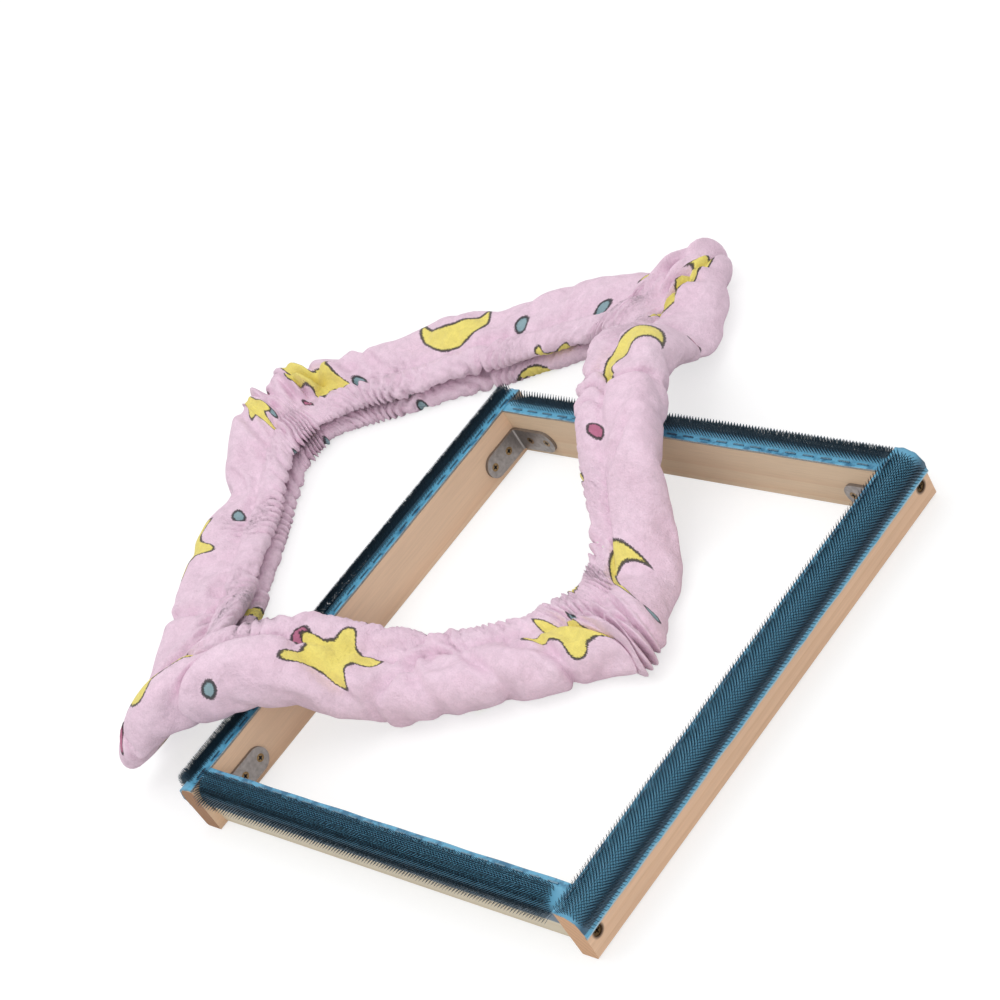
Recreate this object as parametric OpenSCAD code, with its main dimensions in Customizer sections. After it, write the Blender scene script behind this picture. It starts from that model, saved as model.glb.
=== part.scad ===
// Punch needle frame: a square of four wooden rails with toothed gripper strips on top,
// and the gathered fleece cover that goes over the teeth when the frame isn't in use.
// The frame lies flat. The cover lies over its back left corner.

/* [Frame] */
// Outside length of each side rail
frame_side = 300; // [260:10:360]
// Height of the wooden rails
rail_h = 30; // [28:1:36]
// Thickness of a rail at its shoulder
rail_w = 13; // [13:0.5:16]
// Radius of the rounded outer shoulder
shoulder_r = 8; // [7:0.5:9]
// How far the outer face slopes in from the shoulder to the bottom
rail_taper = 1.5; // [0.5:0.25:2]
// How far the end rails sit in from the ends of the side rails
end_inset = 4; // [2:0.5:6]

/* [Corner brackets] */
// Length of each leg
leg_l = 30; // [28:1:36]
// Width of each leg
leg_w = 15; // [12:0.5:16]
// Thickness of the steel
bracket_t = 1.8; // [1.4:0.1:2]
// Height of the middle of the leg above the table
bracket_z = 11; // [10:0.5:13]
// First screw hole, measured from the inner corner
hole_near = 11.5; // [10:0.5:13]
// Second screw hole, measured from the inner corner
hole_far = 24.5; // [22:0.5:25]

/* [Gripper strips] */
// Full thickness of a strip
strip_t = 1.3; // [1.1:0.1:1.6]
// Height above the table of the strip's outer edge
strip_low = 16; // [15.5:0.5:18]
// Height of the wire teeth above the strip
tooth_h = 6.6; // [5:0.2:7]
// Rows of teeth across a strip
tooth_rows = 6; // [4:1:6]
// Teeth in each row
teeth_in_row = 17; // [12:1:20]
// Distance between two staples
staple_pitch = 12; // [10:1:20]

/* [Cover] */
// Outside length of each side of the cover
cover_side = 320; // [310:5:340]
// Width of the cover's band, from its outside to its opening
band_w = 48; // [44:1:54]
// Height of the padded outer zone when the cover lies slack
puff_h = 27; // [24:1:30]
// Angle between the cover and the frame
cover_turn = 30; // [20:5:40]
// Distance from the frame's middle to the cover's middle, leftwards
cover_left = 150; // [140:5:160]
// Distance from the frame's middle to the cover's middle, backwards
cover_back = 70; // [60:5:80]

/* [Hidden] */
$fn = 48;

// Rails: distance from the middle of the frame to the inner faces, and their lengths
side_in = frame_side / 2 - rail_w;
end_in = frame_side / 2 - end_inset - rail_w;
side_len = frame_side;
end_len = 2 * side_in;
flat_w = rail_w - shoulder_r;
shoulder_z = rail_h - shoulder_r;
edge_cut = 1.2;

// Corners in the order front left, front right, back right, back left
corner_at = [[-side_in, -end_in], [side_in, -end_in], [side_in, end_in], [-side_in, end_in]];
bend_r = 3;
bracket_hole_r = 1.6;
run_gap = 0.05;

// Screws: head radius, head height, shank radius, length
head_lip = 0.25;
bracket_screw = [2.4, 1.5, 1.25, 10];
corner_screw = [3, 1.9, 1.6, 26];
corner_screw_y = frame_side / 2 - end_inset - 3.5;
corner_screw_z = 12.8;
corner_screw_sink = 0.8;
corner_screw_x = frame_side / 2 - rail_taper * (shoulder_z - corner_screw_z) / shoulder_z;

// Strips: the lower layer of the strip, and the slice above it that holds the teeth
base_t = 0.7;
row_first = 5.7;
row_pitch = 2.3;
zone_in = row_first - row_pitch / 2;
zone_out = row_first + (tooth_rows - 0.5) * row_pitch;
end_margin = 5;
tooth_root = 0.25;
tooth_r = 0.5;
tooth_lean = 1.2;
tooth_knee = 0.45;
twill_step = 0.38;
strip_r = shoulder_r + strip_t;
arc_len = strip_r * PI / 2;

// Staples: crown length, wire width, wire thickness and leg length
crown_l = 7;
wire_w = 0.8;
wire_t = 0.5;
staple_leg = 6;
staple_in = 2.5;

// Cover: the seam between padded zone and gathered casing, and the corner radii
seam_in = 30;
slit_low = 9.6;
slit_high = 13;
outer_r = 20;
inner_r = 28;
sleeve_side_steps = 10;
sleeve_corner_steps = 5;
casing_side_steps = 20;
casing_corner_steps = 10;

// Draping: the cover passes above the teeth and falls to the table on both sides of them
tooth_top = rail_h + strip_t + tooth_h;
drape_h = tooth_top + 2.2;
drape_fall = 75;
drape_edge = 6;
rail_reach = rail_w + strip_t + tooth_h + drape_edge;

// A rail's profile: u outwards from its inner face, v up. t adds a layer over the shoulder.
module rail_fill(t) {
    cut = t > 0 ? 0 : edge_cut;
    translate([flat_w, shoulder_z]) intersection() {
        circle(shoulder_r + t);
        square(shoulder_r + t);
    }
    polygon([
        [0, 0], [rail_w - rail_taper + t - cut, 0], [rail_w - rail_taper + t, cut],
        [rail_w + t, shoulder_z], [flat_w, rail_h + t], [0, rail_h + t]
    ]);
}

// A point on the strip's upper surface, s millimetres from its inner edge
function strip_point(s) =
    s < flat_w ? [s, rail_h + strip_t]
    : s < flat_w + arc_len ? [flat_w, shoulder_z] + strip_r * strip_normal(s)
    : [rail_w + strip_t - (s - flat_w - arc_len) * rail_taper / shoulder_z,
       shoulder_z - (s - flat_w - arc_len)];

// The outward normal there
function strip_normal(s) =
    let (a = 90 - (min(max(s, flat_w), flat_w + arc_len) - flat_w) / strip_r * 180 / PI)
    [cos(a), sin(a)];

// Turns a shape drawn for the right side to another side, at that rail's distance
module on_side(turn, inner) {
    rotate([0, 0, turn]) translate([inner, 0, 0]) children();
}

module along(length) {
    rotate([90, 0, 0]) linear_extrude(height = length, center = true) children();
}

module at_corner(k) {
    translate([corner_at[k][0], corner_at[k][1], 0]) rotate([0, 0, 90 * k]) children();
}

// A countersunk screw with its head up, its top at the origin, and a cross recess
module screw(s) {
    point = s[2] * 2;
    difference() {
        rotate_extrude() polygon([
            [0, 0], [s[0], 0], [s[0], -head_lip], [s[2], -s[1]],
            [s[2], point - s[3]], [0.2, -s[3]], [0, -s[3]]
        ]);
        for (a = [0, 90]) rotate([0, 0, a])
            translate([-s[0] * 0.6, -s[0] * 0.12, -s[1] * 0.75])
                cube([s[0] * 1.2, s[0] * 0.24, s[1]]);
    }
}

// The hole that such a screw sits in, open upwards
module screw_hole(s, above) {
    point = s[2] * 2;
    rotate_extrude() polygon([
        [0, above], [s[0] + run_gap, above], [s[0] + run_gap, -head_lip], [s[2] + run_gap, -s[1]],
        [s[2] + run_gap, point - s[3]], [0.25, -s[3] - run_gap], [0, -s[3] - run_gap]
    ]);
}

// The four screw places of one bracket, with the screw's head towards the opening
module bracket_places(k) {
    at_corner(k) for (d = [hole_near, hole_far]) {
        translate([d, bracket_t, bracket_z]) rotate([-90, 0, 0]) children();
        translate([bracket_t, d, bracket_z]) rotate([0, 90, 0]) children();
    }
}

// The four screws that join the side rails to the end rails
module corner_places() {
    for (sx = [-1, 1], sy = [-1, 1])
        translate([sx * (corner_screw_x - corner_screw_sink), sy * corner_screw_y, corner_screw_z])
            rotate([0, sx * 90, 0]) children();
}

module rail(turn, inner, length) {
    color("burlywood") difference() {
        on_side(turn, inner) along(length) rail_fill(0);
        for (k = [0:3]) bracket_places(k) screw_hole(bracket_screw, 0);
        corner_places() screw_hole(corner_screw, 3);
    }
}

module left_rail() { rail(180, side_in, side_len); }
module right_rail() { rail(0, side_in, side_len); }
module front_rail() { rail(-90, end_in, end_len); }
module back_rail() { rail(90, end_in, end_len); }

module corner_screws() {
    color("goldenrod") corner_places() screw(corner_screw);
}

module bracket_leg() {
    translate([0, bracket_t, 0]) rotate([90, 0, 0]) linear_extrude(height = bracket_t) {
        translate([bend_r, bracket_z - leg_w / 2]) square([leg_l - leg_w / 2 - bend_r, leg_w]);
        translate([leg_l - leg_w / 2, bracket_z]) circle(leg_w / 2);
    }
}

module bracket_bend() {
    translate([0, 0, bracket_z - leg_w / 2]) linear_extrude(height = leg_w) difference() {
        intersection() {
            translate([bend_r, bend_r]) circle(bend_r);
            square(bend_r);
        }
        translate([bend_r, bend_r]) circle(bend_r - bracket_t);
    }
}

// The bracket's countersunk hole: a cone for the head, then the shank's clearance
module bracket_hole() {
    s = bracket_screw;
    slope = (s[1] - head_lip) / (s[0] - s[2]);
    cone_end = -head_lip - (s[0] + run_gap - bracket_hole_r) * slope;
    rotate_extrude() polygon([
        [0, 1], [s[0] + run_gap, 1], [s[0] + run_gap, -head_lip],
        [bracket_hole_r, cone_end], [bracket_hole_r, -bracket_t - 1], [0, -bracket_t - 1]
    ]);
}

module bracket(k) {
    color("slategray") difference() {
        at_corner(k) {
            bracket_leg();
            mirror([1, -1, 0]) bracket_leg();
            bracket_bend();
        }
        bracket_places(k) bracket_hole();
    }
}

module bracket_screws(k) {
    color("goldenrod") bracket_places(k) screw(bracket_screw);
}

// The part of the strip's profile that the teeth stand in
module zone_fill() {
    low = strip_point(zone_out)[1];
    difference() {
        polygon([
            [zone_in, rail_h], [zone_in, rail_h + 3], [rail_w + 3, rail_h + 3],
            [rail_w + 3, low], [flat_w, low]
        ]);
        rail_fill(base_t);
    }
}

module foundation_profile() {
    difference() {
        rail_fill(strip_t);
        rail_fill(0);
        zone_fill();
        translate([-1, -1]) square([rail_w * 2, strip_low + 1]);
    }
}

// The slice that the teeth are fixed in, with one flat facet under each row
module slice_profile() {
    intersection() {
        polygon(concat(
            [for (i = [0:tooth_rows]) strip_point(zone_in + i * row_pitch)],
            [[flat_w, strip_point(zone_out)[1]], [zone_in, shoulder_z]]
        ));
        zone_fill();
    }
}

module foundation(turn, inner, length) {
    color("steelblue") on_side(turn, inner) along(length) foundation_profile();
}

// A bent wire tooth with three sides, in row i at w along the strip
module tooth(i, w) {
    s = row_first + i * row_pitch;
    mid = (strip_point(s - row_pitch / 2) + strip_point(s + row_pitch / 2)) / 2;
    n = strip_normal(s);
    out = [n[1], -n[0]];
    foot = [mid[0], w, mid[1]] - tooth_root * [n[0], 0, n[1]];
    up = [n[0], 0, n[1]];
    side = [out[0], 0, out[1]];
    knee = foot + up * tooth_h * tooth_knee - side * 0.5;
    tip = foot + up * (tooth_h + tooth_root) + side * tooth_lean;
    ring = [for (a = [0, 120, 240]) tooth_r * (cos(a) * side + sin(a) * [0, 1, 0])];
    polyhedron(
        points = concat([for (p = ring) foot + p], [for (p = ring) knee + p * 0.8], [tip]),
        faces = [
            [0, 1, 2], [0, 4, 1], [0, 3, 4], [1, 5, 2], [1, 4, 5],
            [2, 3, 0], [2, 5, 3], [3, 6, 4], [4, 6, 5], [5, 6, 3]
        ]
    );
}

module teeth(turn, inner, length) {
    step = (length - 2 * end_margin - twill_step * row_pitch * tooth_rows) / (teeth_in_row - 1);
    color("darkslategray") on_side(turn, inner) {
        along(length - 2 * end_margin + 2) slice_profile();
        for (i = [0:tooth_rows - 1], j = [0:teeth_in_row - 1])
            tooth(i, end_margin - length / 2 + j * step + i * twill_step * row_pitch);
    }
}

module staple() {
    translate([-wire_w / 2, -crown_l / 2, 0]) cube([wire_w, crown_l, wire_t]);
    for (w = [-1, 1])
        translate([-wire_w / 2, w * (crown_l - wire_t) / 2 - wire_t / 2, -staple_leg])
            cube([wire_w, wire_t, staple_leg + wire_t]);
}

module staples(turn, inner, length) {
    count = floor((length - crown_l - 6) / staple_pitch);
    color("silver") on_side(turn, inner)
        for (i = [0:count])
            translate([staple_in, (i - count / 2) * staple_pitch, rail_h + strip_t]) staple();
}

module left_foundation() { foundation(180, side_in, side_len); }
module right_foundation() { foundation(0, side_in, side_len); }
module front_foundation() { foundation(-90, end_in, end_len); }
module back_foundation() { foundation(90, end_in, end_len); }

module left_teeth() { teeth(180, side_in, side_len); }
module right_teeth() { teeth(0, side_in, side_len); }
module front_teeth() { teeth(-90, end_in, end_len); }
module back_teeth() { teeth(90, end_in, end_len); }

module left_staples() { staples(180, side_in, side_len); }
module right_staples() { staples(0, side_in, side_len); }
module front_staples() { staples(-90, end_in, end_len); }
module back_staples() { staples(90, end_in, end_len); }

// A point of the cover's plan, f of the way round it and q millimetres in from its outside.
// Each quarter is a straight side for f up to 2/3 and then a rounded corner.
function turned(p, a) = [p[0] * cos(a) - p[1] * sin(a), p[0] * sin(a) + p[1] * cos(a)];

function quarter_point(g, h, r) =
    g < 1 ? [(2 * g - 1) * (h - r), -h]
    : [h - r + r * sin(90 * (g - 1)), r - h - r * cos(90 * (g - 1))];

function cover_point(k, g, q) =
    [-cover_left, cover_back]
    + turned(quarter_point(g, cover_side / 2 - q, outer_r + (inner_r - outer_r) * q / band_w),
             90 * k + cover_turn);

// How far a point of the plan is from one rail with its teeth, 0 over the rail itself
function rail_away(p, turn, inner, length) =
    let (l = turned(p, -turn))
    norm([max(inner - drape_edge - l[0], l[0] - inner - rail_reach, 0),
          max(abs(l[1]) - length / 2 - drape_edge, 0)]);

function fall(d) = d > drape_fall ? 0 : (1 + cos(180 * d / drape_fall)) / 2;

function drape(p, t) =
    let (a = fall(rail_away(p, 180, side_in, side_len)),
         b = fall(rail_away(p, 90, end_in, end_len)))
    drape_h * (a + b - a * b) * carried(t);

// Rails carry the cover's front, right and left sides. Its back side lies on the table beyond them.
function carried(t) = t < 1.5 || t >= 3 ? 1 : t < 2 ? (1 + cos(360 * (t - 1.5))) / 2 : 0;

// Stations round the cover as pairs of quarter and place in the quarter
function stations(side_steps, corner_steps) = [
    for (k = [0:3], m = [0:side_steps + corner_steps - 1])
        [k, m < side_steps ? m / side_steps : 1 + (m - side_steps) / corner_steps]
];

// Soft folds: a slow swell round the cover, strongest at the corners
function swell(k, g) =
    let (t = 90 * (k + g / 2))
    0.05 * sin(7 * t + 20) + 0.045 * sin(11 * t) + 0.04 * sin(17 * t + 70);

// Sections of the cover as pairs of q and z, listed round the outline
sleeve_section = [
    [seam_in, slit_high], [seam_in, puff_h * 0.8], [23, puff_h * 0.97], [15, puff_h],
    [7, puff_h * 0.93], [1.5, puff_h * 0.7], [0, puff_h * 0.42], [2.5, puff_h * 0.14],
    [9, 0], [seam_in, 0], [seam_in, slit_low], [10, (slit_low + slit_high) / 2]
];
front_section = [[29.2, 14.5], [32, 21.5], [40, 23], [47.5, 18], [46.5, 14], [38, 12.6]];
back_section = [[29.2, 5], [33, 9.2], [41, 9.5], [47, 5.5], [45.5, 0], [31, 0]];
front_elastic = [[38, 17], [38, 18.2], [44, 17.4], [44, 16.2]];
back_elastic = [[38, 4], [38, 5.2], [44, 4.6], [44, 3.4]];

function sleeve_point(k, g, s) =
    let (w = swell(k, g), p = cover_point(k, g, s[0] - 22 * w * (1 - s[0] / seam_in)))
    [p[0], p[1], drape(p, k + g / 2) + s[1] * (s[1] > slit_high ? 1 + w : 1)];

// Gathers: every other station of a casing is drawn in towards the elastic
function casing_point(k, g, i, s, mid) =
    let (w = (i % 2 == 0 ? 0.12 : -0.14) + 0.05 * sin(i * 77),
         q = s[0] < seam_in ? s[0] : mid[0] + (s[0] - mid[0]) * (1 + w),
         z = s[1] == 0 ? 0 : mid[1] + (s[1] - mid[1]) * (1 + w),
         p = cover_point(k, g, q))
    [p[0], p[1], drape(p, k + g / 2) + z];

function plain_point(k, g, s) =
    let (p = cover_point(k, g, s[0])) [p[0], p[1], drape(p, k + g / 2) + s[1]];

// Closes a ring of n sections with m points each
module loop_solid(points, n, m) {
    polyhedron(points = points, faces = [
        for (i = [0:n - 1], j = [0:m - 1])
            let (a = i * m + j, b = i * m + (j + 1) % m,
                 c = (i + 1) % n * m + (j + 1) % m, d = (i + 1) % n * m + j)
            each [[a, c, b], [a, d, c]]
    ]);
}

module cover_sleeve() {
    st = stations(sleeve_side_steps, sleeve_corner_steps);
    color("pink") loop_solid([for (p = st, s = sleeve_section) sleeve_point(p[0], p[1], s)],
                             len(st), len(sleeve_section));
}

module casing(section, mid) {
    st = stations(casing_side_steps, casing_corner_steps);
    color("lightpink") loop_solid(
        [for (i = [0:len(st) - 1], s = section) casing_point(st[i][0], st[i][1], i, s, mid)],
        len(st), len(section));
}

module elastic(section) {
    st = stations(sleeve_side_steps, sleeve_corner_steps);
    color("white") loop_solid([for (p = st, s = section) plain_point(p[0], p[1], s)],
                              len(st), len(section));
}

module cover_front_casing() { casing(front_section, [40, 17.5]); }
module cover_back_casing() { casing(back_section, [40, 4.8]); }
module cover_front_elastic() { elastic(front_elastic); }
module cover_back_elastic() { elastic(back_elastic); }

left_rail();
right_rail();
front_rail();
back_rail();
corner_screws();
bracket(0);  // bracket_front_left
bracket(1);  // bracket_front_right
bracket(2);  // bracket_back_right
bracket(3);  // bracket_back_left
bracket_screws(0);  // screws_front_left
bracket_screws(1);  // screws_front_right
bracket_screws(2);  // screws_back_right
bracket_screws(3);  // screws_back_left
left_foundation();
right_foundation();
front_foundation();
back_foundation();
left_teeth();
right_teeth();
front_teeth();
back_teeth();
left_staples();
right_staples();
front_staples();
back_staples();
cover_sleeve();
cover_front_casing();
cover_back_casing();
cover_front_elastic();
cover_back_elastic();
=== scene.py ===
import math
import random

import bmesh
import bpy
import numpy as np
from mathutils import Matrix, Vector


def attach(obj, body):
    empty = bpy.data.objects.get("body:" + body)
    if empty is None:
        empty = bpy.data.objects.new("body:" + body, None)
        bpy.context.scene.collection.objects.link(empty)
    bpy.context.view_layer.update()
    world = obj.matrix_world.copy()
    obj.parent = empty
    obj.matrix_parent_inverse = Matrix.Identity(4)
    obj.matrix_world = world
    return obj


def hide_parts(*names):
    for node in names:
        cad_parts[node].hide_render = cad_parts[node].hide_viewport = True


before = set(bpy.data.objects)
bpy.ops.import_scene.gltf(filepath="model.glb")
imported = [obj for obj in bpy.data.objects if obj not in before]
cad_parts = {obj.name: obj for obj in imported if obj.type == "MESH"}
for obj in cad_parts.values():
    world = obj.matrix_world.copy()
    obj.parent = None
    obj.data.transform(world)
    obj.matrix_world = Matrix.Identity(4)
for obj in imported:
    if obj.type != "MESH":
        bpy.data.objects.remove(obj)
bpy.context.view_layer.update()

mm = 0.001
print("stage: frame loaded")


def hexColour(code):
    # sRGB hex to linear RGBA
    parts = [int(code[i:i + 2], 16) / 255 for i in (1, 3, 5)]
    return tuple(c / 12.92 if c <= 0.04045 else ((c + 0.055) / 1.055) ** 2.4 for c in parts) + (1.0,)


def addNode(tree, kind, inputs=(), **settings):
    # a node with its settings. Its inputs come by name or in order: values, hex colours, sockets, or nodes,
    # whose first output is meant. In order, MapRange has value, from, to and what these become, and MixRGB
    # the share and two colours
    node = tree.nodes.new("ShaderNode" + kind)
    for key, value in settings.items():
        setattr(node, key, value)
    for key, value in inputs.items() if isinstance(inputs, dict) else enumerate(inputs):
        if isinstance(value, bpy.types.Node):
            value = value.outputs[0]
        if isinstance(value, str):
            value = hexColour(value)
        if isinstance(value, bpy.types.NodeSocket):
            tree.links.new(value, node.inputs[key])
        else:
            node.inputs[key].default_value = value
    return node


def newMaterial(name):
    material = bpy.data.materials.new(name)
    material.use_nodes = True
    material.node_tree.nodes.clear()
    return material, material.node_tree


def millimetres(tree, location=(0, 0, 0), rotation=(0, 0, 0), scale=(1, 1, 1)):
    # Object coordinates in millimetres, turned and stretched
    place = addNode(tree, "TexCoord").outputs["Object"]
    inMm = addNode(tree, "Mapping", {
        "Vector": place, "Location": location, "Rotation": rotation, "Scale": (1000, 1000, 1000)})
    return addNode(tree, "Mapping", {"Vector": inMm, "Scale": scale})


def newPiece(name, mesh, body, material):
    piece = bpy.data.objects.new(name, mesh)
    bpy.context.scene.collection.objects.link(piece)
    mesh.materials.append(material)
    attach(piece, body)
    return piece


def readRows(data, key, width):
    # a value of each of a mesh's vertices or corners, one row each
    values = np.zeros(len(data) * width)
    data.foreach_get(key, values)
    return values.reshape(-1, width)


def openGrid(name, layer, n, m):
    # a flat grid of n by m faces with a UV layer: its mesh, its vertices' places, and their steps both ways
    bm = bmesh.new()
    bm.loops.layers.uv.new(layer)
    bmesh.ops.create_grid(bm, x_segments=n, y_segments=m, size=0.5, calc_uvs=True)
    mesh = bpy.data.meshes.new(name)
    bm.to_mesh(mesh)
    bm.free()
    points = readRows(mesh.vertices, "co", 3)
    steps = np.rint((points[:, :2] + 0.5) * (n, m)).astype(int)
    return mesh, points, steps[:, 0], steps[:, 1]


def vertsOf(geom):
    return [g for g in geom if isinstance(g, bmesh.types.BMVert)]


# the photo's camera, fitted to the frame's straight edges
view = dict(place=(1.09885, -0.58739, 0.93726), turn=(51.1416, 27.7299, 40.3605), lens=109.116,
            sensor=36, reach=20)
cameraData = bpy.data.cameras.new("camera")
cameraData.lens = view["lens"]
cameraData.sensor_width = view["sensor"]
cameraData.clip_end = view["reach"]
camera = bpy.data.objects.new("camera", cameraData)
camera.location = view["place"]
camera.rotation_euler = [math.radians(a) for a in view["turn"]]
bpy.context.scene.collection.objects.link(camera)
bpy.context.scene.camera = camera

# floor and light: a white table under a white dome, with two soft lamps
studio = dict(floorSize=6.0, floorMiddle=(-0.1, 0, -0.0004), floorGrey="#D9D9D9", shadowShare=0.42,
              nearGlow=0.64, farGlow=0.72, glowReach=(0.6, 2.0), dome=0.74, aimAt=(-0.1, 0.05, 0),
              keyPower=7.5, keySize=1.3, keyPlace=(-0.35, -0.05, 1.5),
              fillPower=6.0, fillSize=0.9, fillPlace=(1.2, -0.9, 0.9))


def whiteRays(tree):
    # 1 for rays from the camera and for mirror and glass rays, which see a plain white background
    path = addNode(tree, "LightPath").outputs
    either = addNode(tree, "Math", [path["Is Camera Ray"], path["Is Glossy Ray"]], operation="MAXIMUM")
    return addNode(tree, "Math", [either, path["Is Transmission Ray"]], operation="MAXIMUM")


def makeFloor():
    bm = bmesh.new()
    bmesh.ops.create_grid(bm, x_segments=1, y_segments=1, size=studio["floorSize"] / 2)
    bmesh.ops.translate(bm, vec=studio["floorMiddle"], verts=bm.verts)
    mesh = bpy.data.meshes.new("studioFloor")
    bm.to_mesh(mesh)
    bm.free()
    material, tree = newMaterial("white studio floor")
    plain = addNode(tree, "BsdfDiffuse", {"Color": studio["floorGrey"]})
    share = studio["shadowShare"]
    seen = addNode(tree, "BsdfDiffuse", {"Color": (share, share, share, 1)})
    # the lamps reach less far out, so the floor glows a little more there and stays white up to its edge
    place = addNode(tree, "TexCoord").outputs["Object"]
    away = addNode(tree, "VectorMath", [place], operation="LENGTH").outputs["Value"]
    near, far = studio["glowReach"]
    strength = addNode(tree, "MapRange", [away, near, far, studio["nearGlow"], studio["farGlow"]])
    glow = addNode(tree, "Emission", {"Color": (1, 1, 1, 1), "Strength": strength})
    both = addNode(tree, "AddShader", [seen, glow])
    mixed = addNode(tree, "MixShader", [whiteRays(tree), plain, both])
    addNode(tree, "OutputMaterial", [mixed])
    floor = bpy.data.objects.new("studioFloor", mesh)
    mesh.materials.append(material)
    bpy.context.scene.collection.objects.link(floor)


def makeWorld():
    world = bpy.data.worlds.new("white dome")
    bpy.context.scene.world = world
    world.use_nodes = True
    tree = world.node_tree
    tree.nodes.clear()
    strength = addNode(tree, "MapRange", [whiteRays(tree), 0, 1, studio["dome"], 1.0])
    sky = addNode(tree, "Background", {"Color": (1, 1, 1, 1), "Strength": strength})
    addNode(tree, "OutputWorld", [sky])


def addLamp(name, power, size, place):
    data = bpy.data.lights.new(name, "AREA")
    data.energy = power
    data.size = size
    lamp = bpy.data.objects.new(name, data)
    lamp.location = place
    lamp.rotation_euler = (Vector(studio["aimAt"]) - Vector(place)).to_track_quat("-Z", "Y").to_euler()
    bpy.context.scene.collection.objects.link(lamp)


bpy.context.scene.view_settings.view_transform = "Standard"
makeFloor()
makeWorld()
addLamp("softboxAbove", studio["keyPower"], studio["keySize"], studio["keyPlace"])
addLamp("softboxFront", studio["fillPower"], studio["fillSize"], studio["fillPlace"])
print("stage: camera, floor and light")

# rails: bare sanded pine. Sizes are in mm, here and below
rails = dict(ringWidth=3.4, fibreWidth=0.7, patchWidth=22.22, poreWidth=0.7143,
             ringStretch=0.045, fibreStretch=0.03, patchStretch=0.25, roughness=0.62, endFacing=0.8,
             # the last three keys below: colour and reach of the painted shade round the corner screws'
             # countersinks
             screwAt=(142.5, 12.8, 0), countersinkShade="#3A281C", countersinkShadeFrom=3.3, countersinkShadeTo=4.5)
# each rail has its own copy of the pine. Their tones differ partly as pieces of pine do and partly as painted
# light: the front rail's paler cream is a painted highlight for the light on its front face
railTonesAndLight = {
    # turn of the grain, where the pith lies, early wood, late wood, end grain
    "left_rail": (0, (38, 40, -26), "#E6C6A8", "#D9AF8C", "#9A6E4A"),
    "right_rail": (0, (-64, -60, 52), "#E6C0A0", "#D6AC89", "#CDA07A"),
    "front_rail": (90, (17, 25, 60), "#DDD1BA", "#CFBD9D", "#C9A67C"),
    "back_rail": (90, (52, 10, -38), "#D6BEA1", "#CBA684", "#C49A6C"),
}


def makePine(name, turn, pith, early, late, endGrain):
    # soft growth rings, fine fibres along the rail, faint patches, and a rougher and darker end grain
    material, tree = newMaterial(name)
    along = (0, 0, math.radians(turn))
    grain = millimetres(tree, location=pith, rotation=along, scale=(1, rails["ringStretch"], 1))
    rings = addNode(tree, "TexWave", {
        "Vector": grain, "Scale": math.pi / 10 / rails["ringWidth"], "Distortion": 3.2, "Detail": 2.0,
        "Detail Scale": 0.35, "Detail Roughness": 0.45}, wave_type="RINGS", rings_direction="Y",
        wave_profile="SAW").outputs["Fac"]
    fibre = millimetres(tree, rotation=along, scale=(1, rails["fibreStretch"], 1))
    fibres = addNode(tree, "TexNoise", {
        "Vector": fibre, "Scale": 1 / rails["fibreWidth"], "Detail": 3.0, "Roughness": 0.6})
    patch = millimetres(tree, rotation=along, scale=(1, rails["patchStretch"], 1))
    patches = addNode(tree, "TexNoise", {"Vector": patch, "Scale": 1 / rails["patchWidth"], "Detail": 2.0})
    ringShade = addNode(tree, "MapRange", [rings, 0.35, 1.0, 0, 0.42])
    face = addNode(tree, "MixRGB", [ringShade, early, late])
    streak = addNode(tree, "MapRange", [fibres, 0.3, 0.7, 0.93, 1.04])
    cloud = addNode(tree, "MapRange", [patches, 0.3, 0.7, 0.95, 1.03])
    shade = addNode(tree, "Math", [streak, cloud], operation="MULTIPLY")
    shaded = addNode(tree, "VectorMath", {0: face, "Scale": shade}, operation="SCALE")
    # faces across the grain are end grain
    normal = addNode(tree, "SeparateXYZ", [addNode(tree, "TexCoord").outputs["Normal"]]).outputs
    across = addNode(tree, "Math", [normal[0 if turn else 1]], operation="ABSOLUTE")
    isEnd = addNode(tree, "Math", [across, rails["endFacing"]], operation="GREATER_THAN")
    pores = addNode(tree, "TexNoise", {
        "Vector": millimetres(tree), "Scale": 1 / rails["poreWidth"], "Detail": 3.0})
    ends = addNode(tree, "Math", [rings, pores], operation="MULTIPLY")
    endShade = addNode(tree, "MapRange", [ends, 0, 0.6, 1.08, 0.82])
    endFace = addNode(tree, "VectorMath", {0: hexColour(endGrain)[:3], "Scale": endShade}, operation="SCALE")
    colour = addNode(tree, "MixRGB", [isEnd, shaded, endFace])
    if not turn:
        # the countersinks of the corner screws are painted dark round the rim: painted shade in the sunk
        # holes
        parts = addNode(tree, "SeparateXYZ", [millimetres(tree)]).outputs
        fromMiddle = addNode(tree, "Math", [parts[1]], operation="ABSOLUTE")
        spot = addNode(tree, "CombineXYZ", [fromMiddle, parts[2]])
        away = addNode(tree, "VectorMath", [spot, rails["screwAt"]], operation="DISTANCE").outputs["Value"]
        rim = addNode(tree, "MapRange", [away, rails["countersinkShadeFrom"], rails["countersinkShadeTo"], 0.85, 0.0])
        colour = addNode(tree, "MixRGB", [rim, colour, rails["countersinkShade"]])
    height = addNode(tree, "Math", [fibres, rings], operation="ADD")
    bump = addNode(tree, "Bump", {"Height": height, "Strength": 0.35, "Distance": 0.12 * mm})
    wood = addNode(tree, "BsdfPrincipled", {
        "Base Color": colour, "Roughness": rails["roughness"], "IOR": 1.5, "Normal": bump})
    addNode(tree, "OutputMaterial", [wood])
    return material


def paint(node, material):
    # a CAD node keeps its mesh and takes a new finish
    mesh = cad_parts[node].data
    mesh.materials.clear()
    mesh.materials.append(material)


for node, look in railTonesAndLight.items():
    paint(node, makePine("sanded pine, " + node.replace("_", " "), *look))
print("stage: rails")

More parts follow.
